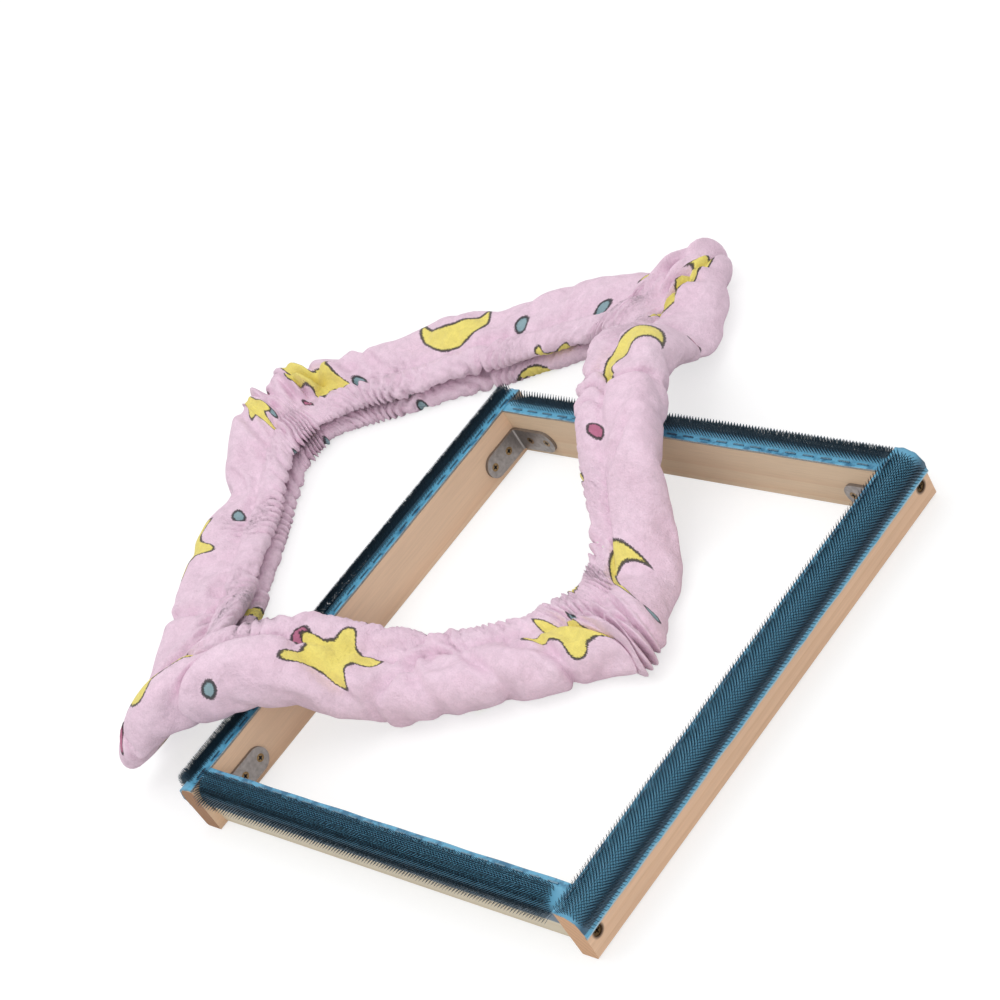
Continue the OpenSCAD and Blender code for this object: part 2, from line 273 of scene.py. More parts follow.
# brackets, screws and staples
hardware = dict(
    # lighter and darker plate, roughness, size of the mottle
    bracket=("#A39D9A", "#7B7573", 0.42, 2.5), bracketScrew=("#A08560", "#5A4630", 0.3, 1.2),
    cornerScrewShaded=("#6E5638", "#33261A", 0.34, 1.5), staple=("#86A5B8", "#54707F", 0.3, 1.0),
    # a cross slot is painted dark beyond these planes, from the middle of the frame: painted shade in the
    # recess
    slot="#15100C", bracketFace=135.5, bracketFaceEnd=131.5, cornerFace=148.2,
    # the bracket screws stand in pairs: where the pairs' middles are, half their spacing, and their height
    pairMiddles=(119, 115), pairHalf=6.5, pairHeight=11, starArea=0.42, starReach=1.62)


def fromPair(tree, place, middle, half):
    # how far a point is along one axis from the nearer screw of a pair
    size = addNode(tree, "Math", [place], operation="ABSOLUTE")
    for step in (middle, half):
        size = addNode(tree, "Math", [size, step], operation="SUBTRACT")
        size = addNode(tree, "Math", [size], operation="ABSOLUTE")
    return size


def slotShadeStar(tree, parts):
    # the dark star painted round each cross slot of the bracket screws, as painted shade of the recess: along
    # * up is small near a cross's arms
    middleX, middleY = hardware["pairMiddles"]
    sideways = addNode(tree, "Math", [parts[0]], operation="ABSOLUTE")
    onSide = addNode(tree, "Math", [sideways, hardware["bracketFace"] - 1], operation="GREATER_THAN")
    along = addNode(tree, "MapRange", [onSide, 0, 1, fromPair(tree, parts[0], middleX, hardware["pairHalf"]),
                                       fromPair(tree, parts[1], middleY, hardware["pairHalf"])])
    up = fromPair(tree, parts[2], hardware["pairHeight"], 0)
    area = addNode(tree, "Math", [along, up], operation="MULTIPLY")
    reach = addNode(tree, "Math", [along, up], operation="MAXIMUM")
    narrow = addNode(tree, "Math", [area, hardware["starArea"]], operation="LESS_THAN")
    near = addNode(tree, "Math", [reach, hardware["starReach"]], operation="LESS_THAN")
    return addNode(tree, "Math", [narrow, near], operation="MULTIPLY")


def makeMetal(name, light, dark, roughness, spotSize, slots=(), star=False):
    # plated steel: a soft mottle in colour and gloss. slots gives the planes past which a cross slot is
    # painted dark as shade
    material, tree = newMaterial(name)
    place = millimetres(tree)
    mottle = addNode(tree, "TexNoise", {"Vector": place, "Scale": 1 / spotSize, "Detail": 3.0})
    colour = addNode(tree, "MixRGB", [mottle, light, dark])
    gloss = addNode(tree, "MapRange", [mottle, 0.3, 0.7, roughness - 0.07, roughness + 0.1])
    metal = 1.0
    if slots:
        parts = addNode(tree, "SeparateXYZ", [place]).outputs
        masks = []
        for axis, limit, side in slots:
            size = addNode(tree, "Math", [parts[axis]], operation="ABSOLUTE")
            masks.append(addNode(tree, "Math", [size, limit], operation=side))
        if star:
            masks.append(slotShadeStar(tree, parts))
        deep = masks[0]
        for mask in masks[1:]:
            deep = addNode(tree, "Math", [deep, mask], operation="MAXIMUM")
        # painted shade: the slots, and the stars round them, are dark and not metal
        colour = addNode(tree, "MixRGB", [deep, colour, hardware["slot"]])
        metal = addNode(tree, "Math", [1.0, deep], operation="SUBTRACT")
    bump = addNode(tree, "Bump", {"Height": mottle, "Strength": 0.15, "Distance": 0.05 * mm})
    plated = addNode(tree, "BsdfPrincipled", {
        "Base Color": colour, "Metallic": metal, "Roughness": gloss, "Normal": bump})
    addNode(tree, "OutputMaterial", [plated])
    return material


zinc = makeMetal("dull zinc plate", *hardware["bracket"])
headZinc = makeMetal("yellow zinc plate, bracket screws", *hardware["bracketScrew"],
                     [(0, hardware["bracketFace"], "GREATER_THAN"),
                      (1, hardware["bracketFaceEnd"], "GREATER_THAN")],
                     star=True)
# the corner screws are a much darker copy of the yellow zinc: painted shade of their sunk countersinks
shadedCornerZinc = makeMetal("yellow zinc plate, corner screws, painted shade", *hardware["cornerScrewShaded"],
                       [(0, hardware["cornerFace"], "LESS_THAN")])
# the staples' blue-grey is partly painted: painted shade with a blue cast from the rubber round them
galvanised = makeMetal("galvanised wire, painted shade", *hardware["staple"])
for corner in ("front_left", "front_right", "back_right", "back_left"):
    paint("bracket_" + corner, zinc)
    paint("screws_" + corner, headZinc)
paint("corner_screws", shadedCornerZinc)
for side in ("left", "right", "front", "back"):
    paint(side + "_staples", galvanised)
print("stage: brackets, screws and staples")

# gripper strips: blue rubber-faced card cloth over each rail's top and shoulder, and its bent wire teeth
strip = dict(railHeight=30, railWidth=13, shoulder=8, taper=1.5, thick=1.3, width=25.6,
             rowStep=0.69, pitch=2.145, jitter=0.09,
             toothHeight=6.1, toothRoot=0.3, toothPoint=0.75, knee=0.45, neckShare=0.78,
             waveOut=0.45, waveIn=0.25, skew=0.3, cutCorner=0.15, gap=0.05,
             stapleLine=2.5, staplePitch=12, dentDepth=0.22, dentWidth=1.1, dentLength=3.2,
             clothSteps=(150, 52, 14))
rubberLook = dict(
    # painted shade: #5FA2C2 is the rubber between the teeth, darkened for the teeth's shade
    blue="#6AB2D2", blueDeep="#4C9ABE", blueEdge="#9CC0D2", smudge="#2F6F92", between="#5FA2C2",
    # painted shade: the navy #16324A stands for the shade under the outer rows of teeth
    teethShade="#16324A", weave="#A9AFAE", weaveDark="#3E464B",
    # sizes of the blotches, streaks, the worn edge's waves, specks and threads
    blotch=8.333, streak=4, edgeWave=6.25, speck=0.9091, thread=0.4545,
    # how far out across the strip the painted shade under the outer teeth goes, on the front strip and on the
    # others
    teethShadeEnd=22.6, fringeShadeEnd=26.4, teethShadeFade=0.8,
    # where across the strip a shade starts and ends, and its strength at either side
    zones=dict(smudges=(2.0, 4.5, 1.0, 0.35), toothed=(3.6, 6.0, 0.0, 0.9), toothless=(20.5, 22.6, 1.0, 0.0),
               teethShade=(12.5, 18.0, 0.0, 0.8)))
wireLook = dict(dark="#323F48", light="#5C6D78", edge="#788A94", blotch=1.6667)
strip["flat"] = strip["railWidth"] - strip["shoulder"]
strip["bendHeight"] = strip["railHeight"] - strip["shoulder"]
sides = {
    # turn of the rail about Z, distance of its inner face, length, toothless ends, the first and last rows'
    # places, how far each row is stepped along as a share of the pitch, how far the teeth's knees and tips
    # lean outwards, and how thick the wire is drawn: thicker where the fringe reads dark against the table
    "left": dict(turn=180, inner=137, length=300, ends=(2, 5), rows=(4.6, 19.5),
                 twill=0.52, lean=(0.35, -0.6), wire=0.44),
    "right": dict(turn=0, inner=137, length=300, ends=(0.6, 5), rows=(3.6, 18.9),
                  twill=0.545, lean=(-0.5, 0.4), wire=0.34),
    "front": dict(turn=-90, inner=133, length=274, ends=(1.6, 7), rows=(4.8, 19.0),
                  twill=0.27, lean=(-0.3, 0.35), wire=0.33),
    "back": dict(turn=90, inner=133, length=274, ends=(1.5, 3.5), rows=(4.6, 19.5),
                 twill=0.52, lean=(0.35, -0.6), wire=0.34),
}


def stripPoint(s, thick):
    # a point of the profile (outwards, up), s mm from the inner edge as measured on the strip's face
    radius = strip["shoulder"] + thick
    outer = strip["shoulder"] + strip["thick"]
    flat = strip["flat"]
    bend = flat + outer * math.pi / 2
    if s < flat:
        return s, strip["railHeight"] + thick
    if s < bend:
        a = (s - flat) / outer
        return flat + radius * math.sin(a), strip["bendHeight"] + radius * math.cos(a)
    fallen = s - bend
    outside = strip["railWidth"] + thick - fallen * strip["taper"] / strip["bendHeight"]
    return outside, strip["bendHeight"] - fallen


def stripNormal(s):
    outer = strip["shoulder"] + strip["thick"]
    a = min(max(s - strip["flat"], 0), outer * math.pi / 2) / outer
    return math.sin(a), math.cos(a)


def sidePlace(side):
    # profile space (outwards, along, up) in mm to the frame in metres
    return (Matrix.Scale(mm, 4) @ Matrix.Rotation(math.radians(side["turn"]), 4, "Z")
            @ Matrix.Translation((side["inner"], 0, 0)))


def makeRubber(name, teethShadeEnd):
    # satin rubber on a woven cotton base: even blue, smudged where the staples pull it, with a pale worn
    # lower edge, a little painted shade between the teeth, and navy painted shade under the outer teeth as
    # far out across the strip as the second argument says
    material, tree = newMaterial(name)
    onStrip = addNode(tree, "UVMap", uv_map="strip")   # along and across the strip, in mm
    out = addNode(tree, "SeparateXYZ", [onStrip]).outputs[1]
    place = millimetres(tree)
    mottle = addNode(tree, "TexNoise", {"Vector": place, "Scale": 1 / rubberLook["blotch"], "Detail": 3.0})
    streaky = addNode(tree, "Mapping", {"Vector": place, "Scale": (0.5, 0.5, 1.6)})
    streaks = addNode(tree, "TexNoise", {
        "Vector": streaky, "Scale": 1 / rubberLook["streak"], "Detail": 3.0, "Roughness": 0.6})
    shades = dict(rubberLook["zones"], light=(teethShadeEnd - rubberLook["teethShadeFade"], teethShadeEnd, 1.0, 0.0))
    for key, (start, end, before, after) in shades.items():
        shades[key] = addNode(tree, "MapRange", [out, start, end, before, after])
    smudged = addNode(tree, "MapRange", [streaks, 0.46, 0.6])
    smudge = addNode(tree, "Math", [smudged, shades["smudges"]], operation="MULTIPLY")
    wavy = addNode(tree, "TexNoise", {"Vector": place, "Scale": 1 / rubberLook["edgeWave"], "Detail": 1.0})
    edge = addNode(tree, "Math", [wavy, -2.4, strip["width"] + 0.2], operation="MULTIPLY_ADD")
    isEdge = addNode(tree, "Math", [out, edge], operation="GREATER_THAN")
    # painted shade: a little between all the teeth, and navy under the outer rows
    teethGapShade = addNode(tree, "Math", [shades["toothed"], shades["toothless"]], operation="MULTIPLY")
    teethShade = addNode(tree, "Math", [shades["teethShade"], shades["light"]], operation="MULTIPLY")
    blue = rubberLook["blue"]
    for share, shade in ((mottle, "blueDeep"), (smudge, "smudge"), (isEdge, "blueEdge"), (teethGapShade, "between"),
                         (teethShade, "teethShade")):
        blue = addNode(tree, "MixRGB", [share, blue, rubberLook[shade]])
    # the cut edges and the underside show the cotton
    speck = addNode(tree, "TexNoise", {"Vector": place, "Scale": 1 / rubberLook["speck"], "Detail": 2.0})
    cotton = addNode(tree, "MixRGB", [speck, rubberLook["weave"], rubberLook["weaveDark"]])
    isCotton = addNode(tree, "Math", [out, strip["width"] + 1], operation="GREATER_THAN")
    colour = addNode(tree, "MixRGB", [isCotton, blue, cotton])
    weave = addNode(tree, "TexNoise", {"Vector": place, "Scale": 1 / rubberLook["thread"], "Detail": 2.0})
    bump = addNode(tree, "Bump", {"Height": weave, "Strength": 0.25, "Distance": 0.1 * mm})
    gloss = addNode(tree, "MapRange", [streaks, 0.3, 0.7, 0.26, 0.46])
    rubber = addNode(tree, "BsdfPrincipled", {
        "Base Color": colour, "Roughness": gloss, "IOR": 1.52, "Normal": bump})
    addNode(tree, "OutputMaterial", [rubber])
    return material


def makeWire():
    # hardened and tempered card wire: blue-black steel
    material, tree = newMaterial("hardened card wire")
    mottle = addNode(tree, "TexNoise", {
        "Vector": millimetres(tree), "Scale": 1 / wireLook["blotch"], "Detail": 2.0})
    colour = addNode(tree, "MixRGB", [mottle, wireLook["dark"], wireLook["light"]])
    steel = addNode(tree, "BsdfPrincipled", {
        "Base Color": colour, "Metallic": 1.0, "Roughness": 0.42, "Specular Tint": wireLook["edge"]})
    addNode(tree, "OutputMaterial", [steel])
    return material


def makeStripCloth(name, side, seed):
    # one closed band over the shoulder, with slightly wavy cut edges and a dent under each staple
    along, top, under = strip["clothSteps"]
    width, thick = strip["width"], strip["thick"]
    corner, gap = strip["cutCorner"], strip["gap"]
    outline = [(corner + (width - 2 * corner) * i / top, thick) for i in range(top + 1)]
    outline += [(width, thick - 0.2), (width, 0.35), (width - corner, gap)]
    outline += [(width - 2 * corner - (width - 4 * corner) * i / under, gap) for i in range(1, under)]
    outline += [(corner, gap), (0, 0.35), (0, thick - 0.2), outline[0]]
    loop = np.array(outline)
    mesh, points, _, k = openGrid(name, "strip", along, len(loop) - 1)
    s, t = loop[k, 0], loop[k, 1]
    rand = np.random.default_rng(seed)
    y = points[:, 0] * side["length"]

    def wave(lengths):
        waves = [rand.uniform(0.6, 1) * np.sin(2 * math.pi * (y / w + rand.random())) for w in lengths]
        return sum(waves) / len(lengths)

    # the outer edge waves from 18 mm on, the inner one up to 4 mm, and the cut ends are a little off square
    s = s + strip["waveOut"] * wave((83, 47, 31)) * np.clip((s - 18) / 7, 0, 1) ** 1.5
    s = s + strip["waveIn"] * wave((71, 38)) * np.clip((4 - s) / 4, 0, 1) ** 1.5
    endless = 1e9
    toEnd = 2 * points[:, 0]
    y = y + strip["skew"] * wave((endless,)) * toEnd + 0.25 * np.sin(s * 0.9 + seed) * toEnd ** 9
    offset = (y + strip["staplePitch"] / 2) % strip["staplePitch"] - strip["staplePitch"] / 2
    dent = np.exp(-((s - strip["stapleLine"]) / strip["dentWidth"]) ** 2)
    dent = dent * np.exp(-(offset / strip["dentLength"]) ** 4)
    t = t - strip["dentDepth"] * dent * (t > 1)
    u, v = np.vectorize(stripPoint)(s, t)
    mesh.vertices.foreach_set("co", np.stack([u, y, v], axis=1).reshape(-1))
    uv = mesh.uv_layers["strip"].data
    flat = readRows(uv, "uv", 2)
    k = np.rint(flat[:, 1] * (len(loop) - 1)).astype(int)
    flat[:, 0] *= side["length"]
    flat[:, 1] = np.where(k <= top, loop[k, 0], width + 5)   # the underside and edges lie past the face
    uv.foreach_set("uv", flat.reshape(-1))
    # close the band along its inner edge and at both ends
    bm = bmesh.new()
    bm.from_mesh(mesh)
    bmesh.ops.remove_doubles(bm, verts=bm.verts, dist=0.0001)
    bmesh.ops.holes_fill(bm, edges=[e for e in bm.edges if e.is_boundary], sides=0)
    bmesh.ops.recalc_face_normals(bm, faces=bm.faces)
    for face in bm.faces:
        face.smooth = len(face.verts) == 4
    bm.to_mesh(mesh)
    bm.free()
    mesh.transform(sidePlace(side))
    return mesh


def makeTooth(s, lean, wireWidth):
    # one bent tooth at s on the profile: a four-sided wire with a knee and a ground point
    n = stripNormal(s)
    out = Vector((n[1], 0, -n[0]))
    up = Vector((n[0], 0, n[1]))
    point = stripPoint(s, strip["thick"])
    root = strip["toothRoot"]
    foot = Vector((point[0], 0, point[1])) - root * up
    full = strip["toothHeight"]
    knee = foot + up * full * strip["knee"] + out * lean[0]
    neck = foot + up * (full - strip["toothPoint"]) + out * lean[1] * strip["neckShare"]
    tip = foot + up * (full + root) + out * lean[1]
    bm = bmesh.new()
    turned = Matrix((out, Vector((0, 1, 0)), up)).transposed().to_4x4()
    bmesh.ops.create_circle(bm, cap_ends=False, segments=4, radius=wireWidth / 2,
                            matrix=Matrix.Translation(foot) @ turned)
    edges = list(bm.edges)
    last = foot
    for place in (knee, neck):
        grown = bmesh.ops.extrude_edge_only(bm, edges=edges)["geom"]
        bmesh.ops.translate(bm, vec=place - last, verts=vertsOf(grown))
        edges = [g for g in grown if isinstance(g, bmesh.types.BMEdge)]
        last = place
    grown = bmesh.ops.extrude_edge_only(bm, edges=edges)["geom"]
    bmesh.ops.pointmerge(bm, verts=vertsOf(grown), merge_co=tip)
    bmesh.ops.holes_fill(bm, edges=[e for e in bm.edges if e.is_boundary], sides=4)
    bmesh.ops.recalc_face_normals(bm, faces=bm.faces)
    return bm


def makeTeeth(name, side, seed):
    # rows of teeth across the strip, each row stepped along by a share of the pitch
    whole = bmesh.new()
    firstRow, lastRow = side["rows"]
    rows = int((lastRow - firstRow) / strip["rowStep"]) + 1
    low = -side["length"] / 2 + side["ends"][0]
    high = side["length"] / 2 - side["ends"][1]
    for i in range(rows):
        bm = makeTooth(firstRow + i * strip["rowStep"], side["lean"], side["wire"])
        first = low + (i * side["twill"]) % 1 * strip["pitch"]
        count = int((high - first) / strip["pitch"]) + 1
        bmesh.ops.translate(bm, vec=(0, first, 0), verts=bm.verts)
        toothVertices = len(bm.verts)
        template = list(bm.verts) + list(bm.edges) + list(bm.faces)
        for j in range(1, count):
            copy = bmesh.ops.duplicate(bm, geom=template)["geom"]
            bmesh.ops.translate(bm, vec=(0, j * strip["pitch"], 0), verts=vertsOf(copy))
        row = bpy.data.meshes.new("row")
        bm.to_mesh(row)
        bm.free()
        whole.from_mesh(row)
        bpy.data.meshes.remove(row)
    mesh = bpy.data.meshes.new(name)
    whole.to_mesh(mesh)
    whole.free()
    # each tooth leans a little its own way: the points move, the feet stay
    teeth = readRows(mesh.vertices, "co", 3).reshape(-1, toothVertices, 3)
    rand = np.random.default_rng(seed)
    drift = rand.normal(0, strip["jitter"], (len(teeth), 1, 3))
    drift[:, :, 2] *= 0.5
    foot = teeth[:, :4].mean(axis=1, keepdims=True)
    rise = np.linalg.norm(teeth - foot, axis=2, keepdims=True) / strip["toothHeight"]
    teeth += drift * np.clip(rise, 0, 1.1) ** 1.5
    mesh.vertices.foreach_set("co", teeth.reshape(-1))
    mesh.transform(sidePlace(side))
    mesh.update()
    return mesh


rubber = makeRubber("blue rubber-faced card cloth", rubberLook["teethShadeEnd"])
# the front strip takes the painted shade under its teeth out to its outer edge, under the dense fringe
fringeShadedRubber = makeRubber("blue rubber-faced card cloth, painted shade to the edge", rubberLook["fringeShadeEnd"])
wire = makeWire()
for seed, (name, side) in enumerate(sides.items()):
    clothMesh = makeStripCloth(name + "_strip", side, seed + 21)
    cloth = newPiece(name + "_strip", clothMesh, "frame",
                     fringeShadedRubber if name == "front" else rubber)
    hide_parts(name + "_foundation")
    teethMesh = makeTeeth(name + "_tooth_wires", side, seed + 1)
    teeth = newPiece(name + "_tooth_wires", teethMesh, "frame", wire)
    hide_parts(name + "_teeth")
    print("stage: strip", name, len(teeth.data.polygons), "faces")

# cover: plush fleece sleeve with gathered casings
cover = dict(side=320, outerRadius=20, innerRadius=28, band=48, turn=30, centre=(-150, 70), seam=30,
             round=1243.2, around=960, across=96, straightShare=2 / 3, fill=0.4,
             # over the teeth: how far it is lifted, over what distance it comes down, how far the hump's top
             # goes past the rail's inner face and ends, and outwards of that face, and how hard it is pressed
             lift=40.1, fall=75, edge=6, reach=26.9, settle=2.0,
             # shares of the way round: where it starts to come down, lies on the table, and is lifted again
             leaves=0.375, lies=0.5, rises=0.75,
             # the gathers and the finer ones between them, which slant about a line across the band
             gathers=118, gatherDepth=1.8, gatherMiddle=39, fineGathers=262, fineDepth=0.4, fineMiddle=36,
             slantOver=9,
             # heights from which on it is the front, its puffed part, the padded zone, and off the table, and
             # up to which a lifted part is pressed down; and how far in the padded zone's swell pulls
             frontFrom=12.0, puffFrom=19, padFrom=13, offTable=0.4, settleTo=12, swellIn=22,
             folds=1.65, foldCount=52, foldSeed=14, foldSlant=(-1.1, 1.1), foldLength=(14, 26),
             foldWidth=(2.6, 5.0), foldDepth=(1.2, 3.2), foldMiddle=(10, 26))
clothRun = dict(around=400, across=44, frames=20, folds=1.0, cap=7, cornerHold=0.7, cornerWidth=0.16,
                # shrink_min below 0 is the share by which the cloth is cut too large
                fabric=dict(quality=6, mass=0.15, tension_stiffness=12, compression_stiffness=12,
                            shear_stiffness=6, bending_stiffness=0.2, shrink_min=-0.12,
                            use_pressure=True, uniform_pressure_force=1.8, vertex_group_mass="held"))
fleeceLook = dict(
    pink="#F1D9E8", pinkDeep="#E6C5D8", yellow="#F0E07C", charcoal="#3B3A3C", greyBlue="#8FAAB2",
    rose="#BC7390", sheen="#FFF2FA",
    # sizes of the fuzz at the print's edges, colour clouds, tufts, flattened patches and brushed nap
    fuzz=0.7692, fuzzDepth=1.5, cloud=20, tuft=0.9091, patch=6.25, nap=5,
    # the print: big figures and dots, each in a grid of cells, (size, cells round the cover, stray, seed)
    figures=((103.6, 66.0), 12, (36, 28), 3.0), dots=((51.8, 33.0), 24, (14, 12), 8.0), printStart=20.0,
    starRadius=14.4, starWaves=((5, 4.6), (10, 1.3)), moonRadius=18.5, bitePlace=10.5, biteRadius=15.5,
    moonFrom=0.56, dotRadius=3.0, dotSpread=1.8, noDotFrom=0.4)

# the fabric's outline across the band as (in from the outside, up, gather, fold), from deep in the slit
# over the front casing, the padded zone and the outside, and back under the back casing
coverOutline = [
    (11, 11.4, 0, 0), (20, 12.6, 0, 0), (30, 12.9, .3, 0), (38, 12.9, .7, 0), (45.3, 13.9, 1, 0),
    (47.9, 16.6, 1, 0), (46.4, 19.7, 1, 0), (41.5, 22.2, 1, 0), (36, 22.7, 1, 0), (32, 21.0, .8, 0),
    (30, 19.6, .6, 0), (27.8, 21.4, .6, .1), (24, 25.2, .4, .7), (15.5, 27, .15, 1), (7.5, 25.3, .05, 1),
    (2.2, 20, 0, 1), (0, 12, 0, 1), (2.2, 4.5, 0, .7), (8.5, .5, 0, .1), (18, .15, 0, 0),
    (30, .15, 0, 0), (40, .2, .3, 0), (45.6, .9, .8, 0), (47.5, 4.4, 1, 0), (45, 8.1, 1, 0),
    (40, 9.5, 1, 0), (34, 9.2, .8, 0), (29, 9.7, .3, 0), (20, 10.2, 0, 0),
]


def smoothLoop(points, count):
    # a closed smooth curve through points, as evenly spaced rows, and its length
    p = np.array(points, float)
    n = len(p)
    fine = []
    for i in range(n):
        a, b, c, d = p[i - 1], p[i], p[(i + 1) % n], p[(i + 2) % n]
        t = np.linspace(0, 1, 24, endpoint=False)[:, None]
        fine.append(0.5 * (2 * b + (c - a) * t + (2 * a - 5 * b + 4 * c - d) * t ** 2
                           + (3 * b - a - 3 * c + d) * t ** 3))
    fine = np.vstack(fine + [p[:1]])
    run = np.concatenate([[0], np.cumsum(np.linalg.norm(np.diff(fine[:, :2], axis=0), axis=1))])
    at = np.linspace(0, run[-1], count + 1)
    rows = np.stack([np.interp(at, run, fine[:, k]) for k in range(fine.shape[1])], axis=1)
    return rows, at


def ripple(t, counts, seed):
    # a smooth random wave that repeats once round the cover
    rand = np.random.default_rng(seed)
    total = np.zeros_like(t)
    for k in counts:
        total = total + rand.normal(0, 1) * np.sin(2 * math.pi * (k * t + rand.random()))
    return total / math.sqrt(len(counts))


def planPoint(t, q):
    # t of the way round the cover and q mm in from its outside, as the CAD has it
    quarter = np.floor(t * 4) % 4
    part = t * 4 - np.floor(t * 4)
    half = cover["side"] / 2 - q
    radius = cover["outerRadius"] + (cover["innerRadius"] - cover["outerRadius"]) * q / cover["band"]
    # this share of a quarter's steps goes to the straight side, the rest round the corner
    share = cover["straightShare"]
    straight = part < share
    g1 = part / share
    g2 = (part - share) / (1 - share)
    x = np.where(straight, (2 * g1 - 1) * (half - radius), half - radius + radius * np.sin(g2 * math.pi / 2))
    y = np.where(straight, -half, radius - half - radius * np.cos(g2 * math.pi / 2))
    a = quarter * math.pi / 2 + math.radians(cover["turn"])
    return (cover["centre"][0] + x * np.cos(a) - y * np.sin(a),
            cover["centre"][1] + x * np.sin(a) + y * np.cos(a))


def railAway(x, y, side):
    # how far a point of the plan is from the top of the hump over a rail
    a = math.radians(-side["turn"])
    lx, ly = x * math.cos(a) - y * math.sin(a), x * math.sin(a) + y * math.cos(a)
    beside = np.maximum(side["inner"] - cover["edge"] - lx, lx - side["inner"] - cover["reach"])
    return np.hypot(np.maximum(beside, 0), np.maximum(np.abs(ly) - side["length"] / 2 - cover["edge"], 0))


def drape(t, x, y):
    # how far the cover is lifted where it passes over the teeth; its back side lies on the table beyond them
    leaves, lies, rises = cover["leaves"], cover["lies"], cover["rises"]
    comingDown = (1 + np.cos(math.pi * (t - leaves) / (lies - leaves))) / 2
    carried = np.where(t < leaves, 1, np.where(t < lies, comingDown, np.where(t < rises, 0, 1)))
    falls = []
    for side in ("left", "back"):
        d = railAway(x, y, sides[side])
        hump = (1 + np.cos(math.pi * np.minimum(d / cover["fall"], 1))) / 2
        falls.append(np.where(d > cover["fall"], 0, hump))
    return cover["lift"] * carried * (falls[0] + falls[1] - falls[0] * falls[1])


def swell(t):
    # the slow swell of the padded zone, as the CAD has it, over degrees round the cover
    return (0.05 * np.sin(np.radians(7 * t + 20)) + 0.045 * np.sin(np.radians(11 * t))
            + 0.04 * np.sin(np.radians(17 * t + 70)))


def coverFolds(t, q):
    # long soft folds in the padded zone: seeded valleys between two ridges, half of them at the corners
    rand = random.Random(cover["foldSeed"])
    depth = np.zeros_like(q)
    for k in range(cover["foldCount"]):
        corner = k % 2 == 0
        where = ((rand.randrange(4) + cover["straightShare"] + 0.08 + rand.uniform(-0.13, 0.13)) / 4 if corner
                 else rand.random())
        slant = rand.uniform(*cover["foldSlant"])
        length = rand.uniform(*cover["foldLength"])
        width = rand.uniform(*cover["foldWidth"])
        deep = rand.uniform(*cover["foldDepth"]) * (1.25 if corner else 0.9)
        middle = rand.uniform(*cover["foldMiddle"])
        du = ((t - where + 0.5) % 1 - 0.5) * cover["round"]
        dq = q - middle
        along = dq * math.cos(slant) + du * math.sin(slant)
        across = -dq * math.sin(slant) + du * math.cos(slant)
        reach = np.exp(-(along / length) ** 4)
        depth += reach * deep * (-np.exp(-(across / width) ** 2)
                                 + 0.55 * np.exp(-((across - 1.7 * width) / (1.5 * width)) ** 2)
                                 + 0.35 * np.exp(-((across + 2.0 * width) / (1.6 * width)) ** 2))
    return depth


def printCells(tree, cloth, size, cells, stray, seed):
    # a grid of cells on the cloth, each row half a cell further on. Gives a point's place from its own cell's
    # figure, and two random numbers of the cell
    up = addNode(tree, "Math", [cloth[1], fleeceLook["printStart"]], operation="ADD")
    v = addNode(tree, "Math", [up, size[1]], operation="DIVIDE")
    row = addNode(tree, "Math", [v], operation="FLOOR")
    along = addNode(tree, "Math", [cloth[0], size[0]], operation="DIVIDE")
    u = addNode(tree, "Math", [row, 0.5, along], operation="MULTIPLY_ADD")
    column = addNode(tree, "Math", [u], operation="FLOOR")
    column = addNode(tree, "Math", [column, cells * 4], operation="ADD")
    column = addNode(tree, "Math", [column, cells], operation="MODULO")
    key = addNode(tree, "CombineXYZ", [column, row, seed])
    dice = addNode(tree, "TexWhiteNoise", {"Vector": key}, noise_dimensions="3D").outputs
    loose = addNode(tree, "SeparateXYZ", [dice["Color"]]).outputs
    place = []
    for axis, cell in enumerate((u, v)):
        share = addNode(tree, "Math", [cell], operation="FRACT")
        share = addNode(tree, "Math", [share, 0.5], operation="SUBTRACT")
        inCell = addNode(tree, "Math", [share, size[axis]], operation="MULTIPLY")
        off = addNode(tree, "Math", [loose[axis], 0.5], operation="SUBTRACT")
        off = addNode(tree, "Math", [off, stray[axis]], operation="MULTIPLY")
        place.append(addNode(tree, "Math", [inCell, off], operation="SUBTRACT"))
    return place[0], place[1], loose[2], dice["Value"]


def printFigures(tree, cloth):
    # how far a point is outside the outline of its cell's star or moon, in mm
    x, y, turnDice, kindDice = printCells(tree, cloth, *fleeceLook["figures"])
    flat = addNode(tree, "CombineXYZ", [x, y])
    angle = addNode(tree, "Math", [turnDice, 6.283], operation="MULTIPLY")
    turned = addNode(tree, "VectorRotate", {"Vector": flat, "Angle": angle}, rotation_type="Z_AXIS")
    place = addNode(tree, "SeparateXYZ", [turned]).outputs
    radius = addNode(tree, "VectorMath", [turned], operation="LENGTH").outputs["Value"]
    theta = addNode(tree, "Math", [place[1], place[0]], operation="ARCTAN2")
    points = fleeceLook["starRadius"]
    for count, depth in fleeceLook["starWaves"]:
        swing = addNode(tree, "Math", [theta, count], operation="MULTIPLY")
        swing = addNode(tree, "Math", [swing], operation="COSINE")
        points = addNode(tree, "Math", [swing, depth, points], operation="MULTIPLY_ADD")
    star = addNode(tree, "Math", [radius, points], operation="SUBTRACT")
    star = addNode(tree, "Math", [star, 0.85], operation="MULTIPLY")
    bitten = addNode(tree, "VectorMath", [turned, (fleeceLook["bitePlace"], 0, 0)],
                     operation="DISTANCE").outputs["Value"]
    disc = addNode(tree, "Math", [radius, fleeceLook["moonRadius"]], operation="SUBTRACT")
    bite = addNode(tree, "Math", [fleeceLook["biteRadius"], bitten], operation="SUBTRACT")
    moon = addNode(tree, "Math", [disc, bite, 1.2], operation="SMOOTH_MAX")
    isMoon = addNode(tree, "Math", [kindDice, fleeceLook["moonFrom"]], operation="GREATER_THAN")
    return addNode(tree, "Mix", {"Factor": isMoon, "A": star, "B": moon})


